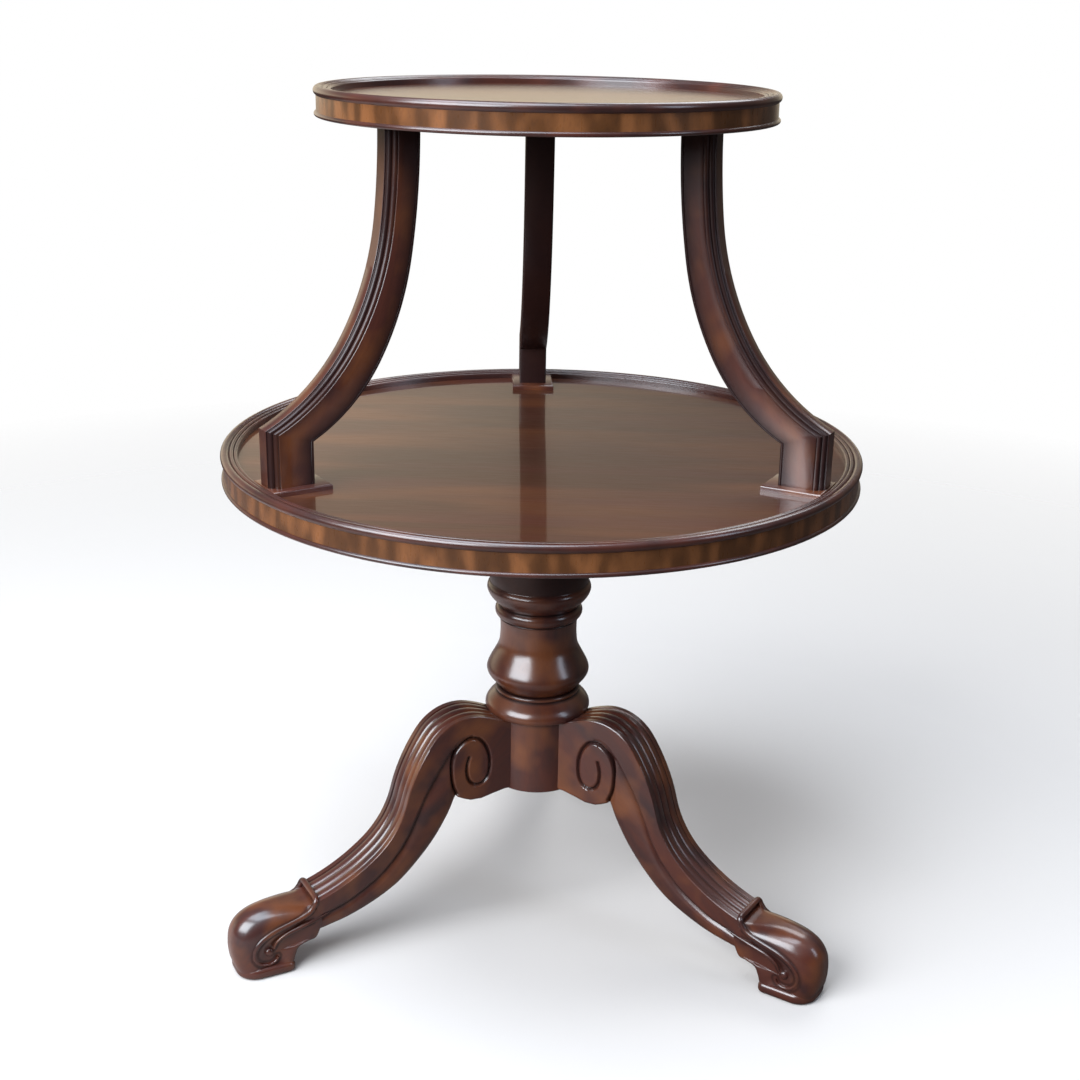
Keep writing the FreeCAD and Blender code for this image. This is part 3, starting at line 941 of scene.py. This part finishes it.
def inside(outline, place):
    """Whether a place lies inside a closed outline."""
    within = False
    for start, end in zip(outline, outline[1:] + outline[:1]):
        if (start.y > place.y) != (end.y > place.y):
            crossing = start.x + (place.y - start.y) / (end.y - start.y) * (end.x - start.x)
            within ^= place.x < crossing
    return within


def roll_outline():
    """Outline of the part of a leg's side that the roll covers, and the crease along its upper edge."""
    crease = plane_path(roll_upper, crease_steps)
    side = plane_path(knee_spiral[:spiral_side], border_steps)
    return side + crease + plane_path(roll_under, border_steps)[::-1], crease


def flank_rings(sizes):
    """Rings round the flat-sided part of a leg: reeds above, plain flanks down to the border."""
    curve = leg_top_curve()
    covered, crease = roll_outline()
    creased = nearness(crease)
    half = sizes.leg_width / 2
    shaft_share = 1 - knee_share
    shares = [knee_share * number / knee_rings for number in range(knee_rings)]
    shares += [knee_share + shaft_share * number / shaft_rings for number in range(shaft_rings + 1)]
    rings = []
    for share in shares:
        top, outward = leg_top_at(curve, share)
        border = border_at(share)
        ring = []
        for step in range(top_steps + 1):
            aside = (half - arris_fall) * (1 - 2 * step / top_steps)
            place = top - outward * reed_drop(sizes, aside)
            ring.append((place.x, aside, place.y))
        flank = []
        for step in range(1, side_steps + 1):
            place = top.lerp(border, step / side_steps)
            fall = arris_fall * max(0.0, 1 - (place - top).length / arris) ** 2
            if share < volute_share:
                fall += volute_fall * max(0.0, 1 - (place - border).length / volute_arris) ** 2
            number, near = creased.find(place.to_3d())[1:]
            if inside(covered, place):
                sink = roll_sink * smooth_step(*roll_start, number / crease_steps)
                fall += crease_fall + sink * smooth_step(0, sink_reach, near)
            else:
                fall += crease_fall * (1 - smooth_step(0, crease_round, near))
            flank.append((place, half - fall))
        ring += [(place.x, -aside, place.y) for place, aside in flank]
        ring += [(place.x, aside, place.y) for place, aside in flank[::-1]]
        rings.append(ring)
    root = [(x - root_depth, y, z) for x, y, z in rings[0]]
    return [root] + rings


def cut_spiral(mesh, sizes):
    """Presses the spiral groove into both flanks of the knee."""
    spiral = nearness(smooth_path(knee_spiral, curve_steps))
    reach = sizes.scroll_width / 2
    for vert in mesh.verts:
        if abs(vert.co.y) < sizes.leg_width / 4 or vert.co.x > knee_reach:
            continue
        near = spiral.find((vert.co.x, vert.co.z, 0))[2]
        if near < reach:
            depth = sizes.scroll_depth * (1 - smooth_step(0, reach, near))
            vert.co.y -= math.copysign(depth, vert.co.y)


# Steps along the roll and round it
roll_steps = 240
roll_sides = 40
roll_clearance = 0.3 * mm
roll_fullness = 3.4
# Share of the way round the roll where it is widest, and how its points crowd together under the leg
roll_swell = 0.40
under_crowding = 1.5
# The crease starts with a share of its depth and gains the rest over the first part of the roll
crease_depth = 4.2 * mm
crease_start = 0.3
crease_run = (0.0, 0.25)
# Over which shares of the way round the roll its sunk start fades
start_fade = (0.5, 0.8)


def roll_shares():
    """Shares of the way round the roll, closer together near its underside."""
    even = [step / roll_sides for step in range(roll_sides + 1)]
    return [share if share < 0.5 else 1 - 0.5 * math.cos(math.pi * (share - 0.5)) ** under_crowding
            for share in even]


def roll_width(share, full, crease):
    """Half of the roll's width at a share of the way round it."""
    if share < roll_swell:
        return full - crease * (1 - share / roll_swell) ** 2
    beyond = (share - roll_swell) / (1 - roll_swell)
    return full * max(0.0, 1 - beyond ** roll_fullness) ** (1 / roll_fullness)


def roll_rings(sizes):
    """Rings round the half-round roll along the underside of a leg."""
    full = sizes.leg_width / 2 - roll_clearance
    edges = zip(plane_path(roll_upper, roll_steps), plane_path(roll_under, roll_steps))
    rings = []
    for number, (high, low) in enumerate(edges):
        down = number / roll_steps
        crease = crease_depth * (crease_start + (1 - crease_start) * smooth_step(*crease_run, down))
        start = start_sink * (1 - smooth_step(*roll_start, down))
        half = []
        for share in roll_shares():
            sunk = start * (1 - smooth_step(*start_fade, share))
            half.append((high.lerp(low, share), max(0.0, roll_width(share, full, crease) - sunk)))
        ring = [(place.x, aside, place.y) for place, aside in half]
        ring += [(place.x, -aside, place.y) for place, aside in half[-2::-1]]
        rings.append(ring)
    return rings


# Steps from place to place round a toe, and across its cheek, its rounded edge and the band over it
outline_steps = 8
cheek_steps = 24
round_steps = 14
band_steps = 8
# The cheek is dished round its eye, and the toe is narrower near the ankle
toe_dish = 3.2 * mm
dish_run = (0.35, 1.0)
toe_waist = 1.4 * mm
waist_run = (0.250, 0.275)
toe_boss = (0.2985, 0.0262)
boss_depth = 2.6 * mm
boss_size = (4.6 * mm, 2.6 * mm, 4.2 * mm, 1)
# How deep the beads' middles lie under the toe's side, near the ankle and out on the toe
ankle_depths = (2.6 * mm, 1.0 * mm)
ankle_run = (0.236, 0.268)
cuff_depths = (2.3 * mm, 1.6 * mm)
cuff_run = (0.250, 0.262)
# Radius of the ankle's bead, and the share of a half turn by which its ends are cut short
ankle_bead = 2.2 * mm
ankle_ends = 0.1
ankle_steps = 50
# Radii of the cuff at its ends and between them, and the share of its length over which it swells
cuff_radii = (1.2 * mm, 3.0 * mm)
cuff_swell = (0.0, 0.20)
cuff_steps = 260
# The cuff over the ankle: its height, its corner's reach and distance from the side, its middle's reach
cuff_crest = 0.0712
cuff_corner = (0.2492, 5.5 * mm)
cuff_reach = 0.2490


def toe_strips(sizes):
    """Strips over a toe from one side's eye to the other's, one for each point of its outline."""
    border, shoulder = [
        in_plane(spline(points, outline_steps, closed=True)) for points in (toe_border, toe_shoulder)]
    flats = spline([(share, 0) for share in toe_flat_shares], outline_steps, closed=True)
    eye = Vector(toe_eye)
    half = sizes.toe_width / 2
    strips = []
    for outer, inner, flat in zip(border, shoulder, flats):
        wide = half - toe_waist * (1 - smooth_step(*waist_run, outer.x))
        side = []
        for step in range(cheek_steps):
            share = step / cheek_steps
            dish = toe_dish * (1 - smooth_step(*dish_run, share))
            side.append((eye.lerp(inner, share), half + (wide - half) * share - dish))
        edge = half * flat.x
        for step in range(round_steps + 1):
            turn = math.pi / 2 * step / round_steps
            side.append((inner.lerp(outer, math.sin(turn)), edge + (wide - edge) * math.cos(turn)))
        band = [(outer, edge * (1 - 2 * step / band_steps)) for step in range(1, band_steps)]
        strip = side + band + [(point, -aside) for point, aside in side[::-1]]
        strips.append([(point.x, aside, point.y) for point, aside in strip])
    return strips


def toe_line(line, half, depths, run):
    """Line on a toe's side that goes from one depth under it to another over a run of reaches."""
    first, last = depths
    return [Vector((x, half - first + (first - last) * smooth_step(*run, x), z)) for x, z in line]


def make_toe(mesh, sizes):
    """Rounded scroll toe, with a cuff that ends in a scroll on both sides and a bead from the ankle."""
    wrapped(mesh, toe_strips(sizes))
    half = sizes.toe_width / 2
    ankle = smooth_path(toe_line(ankle_line, half, ankle_depths, ankle_run), ankle_steps)
    step = (1 - 2 * ankle_ends) / (ankle_steps - 1)
    turns = [math.pi * (ankle_ends + step * number) for number in range(ankle_steps)]
    radii = [ankle_bead * math.sin(turn) for turn in turns]
    for side, path in ((1, ankle), (-1, mirrored(ankle))):
        tube(mesh, path, radii)
        place = (toe_boss[0], side * (half - boss_depth), toe_boss[1])
        boss = Matrix.Translation(place) @ Matrix.Diagonal(boss_size)
        bmesh.ops.create_uvsphere(mesh, u_segments=24, v_segments=16, radius=1, matrix=boss)
    cuff = toe_line(cuff_line, half, cuff_depths, cuff_run)
    cuff.append(Vector((cuff_corner[0], half - cuff_corner[1], cuff_crest)))
    cuff.append(Vector((cuff_reach, half / 3, cuff_crest)))
    last = cuff_steps - 1
    ends = [min(number, last - number) / last for number in range(cuff_steps)]
    thin, thick = cuff_radii
    path = smooth_path(cuff + mirrored(cuff[::-1]), cuff_steps)
    tube(mesh, path, [thin + (thick - thin) * smooth_step(*cuff_swell, end) for end in ends])


sole_height = 11.5 * mm
sole_heel = 273.5 * mm
sole_front = toe_reach - 4.5 * mm
sole_nose = 20 * mm
sole_back = 6 * mm
sole_margin = 2.4 * mm
sole_lip = 4.6 * mm


def make_sole(mesh, sizes):
    """Flat sole with a rounded lip, a little wider than the toe."""
    half = sizes.toe_width / 2 + sole_margin
    outline = arc_points((sole_heel + sole_back, half - sole_back), sole_back, 90, 180, count=7)
    outline += arc_points((sole_heel + sole_back, sole_back - half), sole_back, 180, 270, count=7)
    outline += arc_points((sole_front - sole_nose, sole_nose - half), sole_nose, -90, 0)
    outline += arc_points((sole_front - sole_nose, half - sole_nose), sole_nose, 0, 90)
    plate = bmesh.new()
    verts = [plate.verts.new((x, y, 0)) for x, y in outline]
    face = bmesh.ops.contextual_create(plate, geom=verts)["faces"]
    made = bmesh.ops.extrude_face_region(plate, geom=face)["geom"]
    raised = [item for item in made if isinstance(item, bmesh.types.BMVert)]
    bmesh.ops.translate(plate, vec=(0, 0, sole_height), verts=raised)
    bmesh.ops.recalc_face_normals(plate, faces=plate.faces)
    level = [edge for edge in plate.edges if edge.verts[0].co.z == edge.verts[1].co.z]
    softened(plate, level, sole_lip, segments=6)
    added_to(mesh, plate)


# How dark the painted shade, with the dirt that old polish gathers, is in the hollows of the carving,
# how deep under a leg's side it is laid, and over which distances it fades: the spiral's in widths of
# its groove, the reeds' in shares of their depth
spiral_tone, crease_tone, bead_tone, reed_tone = 0.85, 0.55, 0.7, 0.9
spiral_deep, crease_deep, bead_deep = 6 * mm, 9 * mm, 5 * mm
spiral_fade = (0.12, 0.6)
crease_fade = (0.0, 5 * mm)
bead_fade = (0.5 * mm, 2.5 * mm)
reed_fade = (0.3, 1.0)
# The crease's painted shade comes in between two of its points. The beads' painted shade lies beside
# them, on the toe
crease_points = 300
crease_rise = (20, 130)
bead_side = 3.2 * mm
bead_start = 0.252
cuff_points, ankle_points = 200, 100


def mark_hollows(mesh, sizes):
    """Marks the hollows of the carving for painted shade, with the dirt that old polish gathers there.
    """
    layer = mesh.verts.layers.float.new("edge")
    spiral = nearness(smooth_path(knee_spiral, curve_steps))
    crease = nearness(smooth_path(roll_upper, crease_points))
    top = nearness(leg_top_curve())
    beads = nearness(smooth_path(cuff_line, cuff_points) + smooth_path(ankle_line, ankle_points))
    half = sizes.leg_width / 2
    for vert in mesh.verts:
        place, deep = (vert.co.x, vert.co.z, 0), half - abs(vert.co.y)
        dark = 0.0
        if deep < spiral_deep and vert.co.x < knee_reach:
            near = spiral.find(place)[2] / sizes.scroll_width
            dark = spiral_tone * (1 - smooth_step(*spiral_fade, near))
        if deep < crease_deep:
            number, near = crease.find(place)[1:]
            tone = crease_tone * smooth_step(*crease_rise, number)
            dark = max(dark, tone * (1 - smooth_step(*crease_fade, near)))
        if deep < bead_deep and vert.co.x > bead_start:
            near = abs(beads.find(place)[2] - bead_side)
            dark = max(dark, bead_tone * (1 - smooth_step(*bead_fade, near)))
        if deep > sizes.leg_margin and top.find(place)[2] < 2 * sizes.leg_reed_depth:
            drop = reed_drop(sizes, vert.co.y) / sizes.leg_reed_depth
            dark = max(dark, reed_tone * smooth_step(*reed_fade, drop))
        vert[layer] = dark


class TABLE_OT_legs(bpy.types.Operator):
    """Carved legs: reeded tops, spiral knees, half-round undersides and scroll toes"""

    bl_idname = "tiered_table.legs"
    bl_label = "Carved legs"

    def execute(self, context):
        sizes, colours = context.scene.table_sizes, context.scene.table_colours
        pattern = bmesh.new()
        lofted(pattern, flank_rings(sizes))
        lofted(pattern, roll_rings(sizes))
        cut_spiral(pattern, sizes)
        make_toe(pattern, sizes)
        make_sole(pattern, sizes)
        mark_hollows(pattern, sizes)
        mark_grain(pattern, leg_grain)
        for name, azimuth in leg_azimuths.items():
            leg = pattern.copy()
            turned_to(leg, azimuth)
            finished(f"carved_leg_{name}", leg, frame_wood(colours), "frame_wood", f"leg_{name}",
                     sharp=42)
        pattern.free()
        return {"FINISHED"}


# Fixings under the drum and under the lower top

screw_radius = 4.2 * mm
screw_rise = 1.3 * mm
screw_taper = 0.75
screw_seat = 0.3 * mm
slot_width = 1.1 * mm
slot_depth = 0.7 * mm
# How far the plate's screws stand from the axis, and the block's screws from its edges
plate_screws = (24 * mm, 56 * mm)
block_screw_margin = 20 * mm
# How much the slots of the block's screws turn from one to the next, in radians for each metre
slot_turn = 20


def add_screw(mesh, place, turn):
    """Slotted screw head that looks down from a place, with its slot turned."""
    head = bmesh.new()
    bmesh.ops.create_cone(head, cap_ends=True, segments=32, radius1=screw_taper * screw_radius,
                          radius2=screw_radius, depth=screw_rise)
    for side in (1, -1):
        bmesh.ops.bisect_plane(head, geom=[*head.verts, *head.edges, *head.faces],
                               plane_co=(0, side * slot_width / 2, 0), plane_no=(0, 1, 0))
    slot = [face for face in head.faces
            if face.normal.z < -0.9 and abs(face.calc_center_median().y) < slot_width / 2]
    made = bmesh.ops.extrude_face_region(head, geom=slot)["geom"]
    floor = [item for item in made if isinstance(item, bmesh.types.BMVert)]
    bmesh.ops.translate(head, vec=(0, 0, slot_depth), verts=floor)
    bmesh.ops.delete(head, geom=[face for face in slot if face.is_valid], context="FACES_ONLY")
    bmesh.ops.recalc_face_normals(head, faces=head.faces)
    turned_to(head, turn)
    bmesh.ops.translate(head, vec=Vector(place) + up * (screw_seat - screw_rise / 2), verts=head.verts)
    added_to(mesh, head)


class TABLE_OT_fixings(bpy.types.Operator):
    """Iron plate under the drum, and the screws of the plate and of the bearer block"""

    bl_idname = "tiered_table.fixings"
    bl_label = "Iron plate and screws"

    def execute(self, context):
        iron = wrought_iron()
        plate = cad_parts["spider_plate"]
        plate.data.materials.clear()
        plate.data.materials.append(iron)
        screws = bmesh.new()
        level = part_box("spider_plate")[0].z
        for azimuth in leg_azimuths.values():
            outward = Vector((math.cos(azimuth), math.sin(azimuth), 0))
            for number, reach in enumerate(plate_screws):
                add_screw(screws, reach * outward + level * up, azimuth + number)
        finished("plate_screws", screws, iron, "iron")
        screws = bmesh.new()
        low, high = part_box("bearer_block")
        for x in (low.x + block_screw_margin, high.x - block_screw_margin):
            for y in (low.y + block_screw_margin, high.y - block_screw_margin):
                add_screw(screws, (x, y, low.z), slot_turn * (x + 2 * y))
        finished("block_screws", screws, iron, "iron")
        return {"FINISHED"}


# Stage

room_low, room_high = (0.045, 0.038, 0.036, 1), (0.26, 0.28, 0.32, 1)
haze_colour = (0.72, 0.64, 0.50, 1)
wall_colour = (1.0, 0.86, 0.64, 1)
floor_radius = 2.5
floor_fade = (0.7, 2.2)
# Place, size, power and colour of each lamp. All of them look at the middle of the table
table_middle = (0, 0, 0.45)
lamps = {
    "window": ((-1.7, -1.9, 1.9), (2.4, 1.9), 146, (0.87, 0.93, 1.0)),
    "overhead": ((-0.5, -0.5, 2.7), (2.2, 1.4), 62, (0.80, 0.89, 1.0)),
    "side": ((2.4, -1.1, 1.6), (0.6, 1.4), 11, (0.72, 0.83, 1.0)),
    "back": ((0.8, 1.6, 2.5), (1.6, 1.2), 26, (0.92, 0.96, 1.0)),
}
camera_place = (0.0691, -1.4658, 0.9143)
camera_pan, camera_roll = math.radians(2.7), math.radians(0.98)
camera_tilt = math.radians(90 - 19.29)
camera_lens = 52.55
camera_sensor = 36


def studio_world():
    """Dim room with a warm wall low down behind the table, and white behind it for the camera."""
    world = bpy.data.worlds.new("studio")
    bpy.context.scene.world = world
    world.use_nodes = True
    tree = world.node_tree
    tree.nodes.clear()
    place = wired(tree, "ShaderNodeTexCoord").outputs["Generated"]
    parts = wired(tree, "ShaderNodeSeparateXYZ", {"Vector": place}).outputs
    sky = mixed(tree, shaped(tree, parts["Z"], 0.3, 0.9), room_low, room_high)
    behind = product(tree, shaped(tree, parts["Y"], 0.0, 0.5), shaped(tree, parts["Z"], -0.10, -0.02))
    haze = product(tree, behind, shaped(tree, parts["Z"], 0.26, 0.45, 1.0, 0.0),
                   shaped(tree, parts["X"], -0.30, 0.12, 1.0, 0.1),
                   shaped(tree, parts["X"], -0.85, -0.60, 0.45, 1.0))
    wall = product(tree, behind, shaped(tree, parts["Z"], 0.08, 0.24, 1.0, 0.0),
                   shaped(tree, parts["X"], 0.25, 0.50, 1.0, 0.0))
    tone = mixed(tree, wall, mixed(tree, haze, sky, haze_colour), wall_colour)
    light = wired(tree, "ShaderNodeBackground", {"Color": tone, "Strength": 1.0})
    white = wired(tree, "ShaderNodeBackground", {"Color": (1, 1, 1, 1), "Strength": 1.0})
    seen = wired(tree, "ShaderNodeLightPath").outputs["Is Camera Ray"]
    both = wired(tree, "ShaderNodeMixShader", {0: seen, 1: light.outputs[0], 2: white.outputs[0]})
    wired(tree, "ShaderNodeOutputWorld", {"Surface": both.outputs[0]})


def pale_floor(colours):
    """Pale floor that fades out into the white behind it."""
    material, tree, shader = new_material("pale floor")
    seen = wired(tree, "ShaderNodeLightPath").outputs["Is Camera Ray"]
    place = wired(tree, "ShaderNodeTexCoord").outputs["Object"]
    across = wired(tree, "ShaderNodeSeparateXYZ", {"Vector": place}).outputs["X"]
    # Bounced and mirrored light sees the floor darker towards +X: painted shade of a room that is darker
    # on that side
    bounce = mixed(tree, shaped(tree, across, -0.6, 0.25), rgba(colours.floor_bounce),
                   rgba(colours.floor_bounce, 0.2))
    tree.links.new(mixed(tree, seen, bounce, rgba(colours.floor)), shader.inputs["Base Color"])
    shader.inputs["Roughness"].default_value = 0.9
    shader.inputs["Specular IOR Level"].default_value = 0.1
    reach = wired(tree, "ShaderNodeVectorMath", {0: place}, operation="LENGTH").outputs["Value"]
    tree.links.new(shaped(tree, reach, *floor_fade, 1.0, 0.0), shader.inputs["Alpha"])
    floor = bmesh.new()
    bmesh.ops.create_circle(floor, cap_ends=True, segments=96, radius=floor_radius)
    data = bpy.data.meshes.new("floor")
    floor.to_mesh(data)
    floor.free()
    data.materials.append(material)
    piece = bpy.data.objects.new("floor", data)
    bpy.context.scene.collection.objects.link(piece)


def area_light(name, place, size, power, colour):
    """Lamp with a rectangular face that looks at the table."""
    data = bpy.data.lights.new(name, "AREA")
    data.shape = "RECTANGLE"
    data.size, data.size_y = size
    data.energy = power
    data.color = colour
    lamp = bpy.data.objects.new(name, data)
    lamp.location = place
    lamp.rotation_euler = (Vector(table_middle) - Vector(place)).to_track_quat("-Z", "Y").to_euler()
    bpy.context.scene.collection.objects.link(lamp)


class TABLE_OT_stage(bpy.types.Operator):
    """Pale floor, soft studio light and the camera"""

    bl_idname = "tiered_table.stage"
    bl_label = "Stage"

    def execute(self, context):
        studio_world()
        pale_floor(context.scene.table_colours)
        for name, lamp in lamps.items():
            area_light(name, *lamp)
        data = bpy.data.cameras.new("camera")
        data.sensor_width = camera_sensor
        data.lens = camera_lens
        camera = bpy.data.objects.new("camera", data)
        camera.location = camera_place
        turn = Matrix.Rotation(camera_pan, 3, "Z") @ Matrix.Rotation(camera_tilt, 3, "X")
        turn = turn @ Matrix.Rotation(camera_roll, 3, "Z")
        camera.rotation_euler = turn.to_euler()
        context.scene.collection.objects.link(camera)
        context.scene.camera = camera
        context.scene.view_settings.view_transform = "Standard"
        return {"FINISHED"}


class TABLE_PT_panel(bpy.types.Panel):
    """Steps that dress the table"""

    bl_label = "Tiered side table"
    bl_idname = "TABLE_PT_panel"
    bl_space_type = "VIEW_3D"
    bl_region_type = "UI"
    bl_category = "Side Table"

    def draw(self, context):
        for operator in operators:
            self.layout.operator(operator.bl_idname)
        for group in (context.scene.table_sizes, context.scene.table_colours):
            for name in group.bl_rna.properties.keys():
                if name not in ("rna_type", "name"):
                    self.layout.prop(group, name)


operators = (TABLE_OT_tops, TABLE_OT_rims, TABLE_OT_supports, TABLE_OT_column, TABLE_OT_legs,
             TABLE_OT_fixings, TABLE_OT_stage)
classes = (TableSizes, TableColours, *operators, TABLE_PT_panel)


def register():
    for each in classes:
        bpy.utils.register_class(each)
    bpy.types.Scene.table_sizes = bpy.props.PointerProperty(type=TableSizes)
    bpy.types.Scene.table_colours = bpy.props.PointerProperty(type=TableColours)


def unregister():
    del bpy.types.Scene.table_colours
    del bpy.types.Scene.table_sizes
    for each in reversed(classes):
        bpy.utils.unregister_class(each)


def main():
    register()
    bpy.ops.tiered_table.tops()
    bpy.ops.tiered_table.rims()
    bpy.ops.tiered_table.supports()
    bpy.ops.tiered_table.column()
    bpy.ops.tiered_table.legs()
    bpy.ops.tiered_table.fixings()
    bpy.ops.tiered_table.stage()
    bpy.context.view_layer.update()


if __name__ == "__main__":
    main()
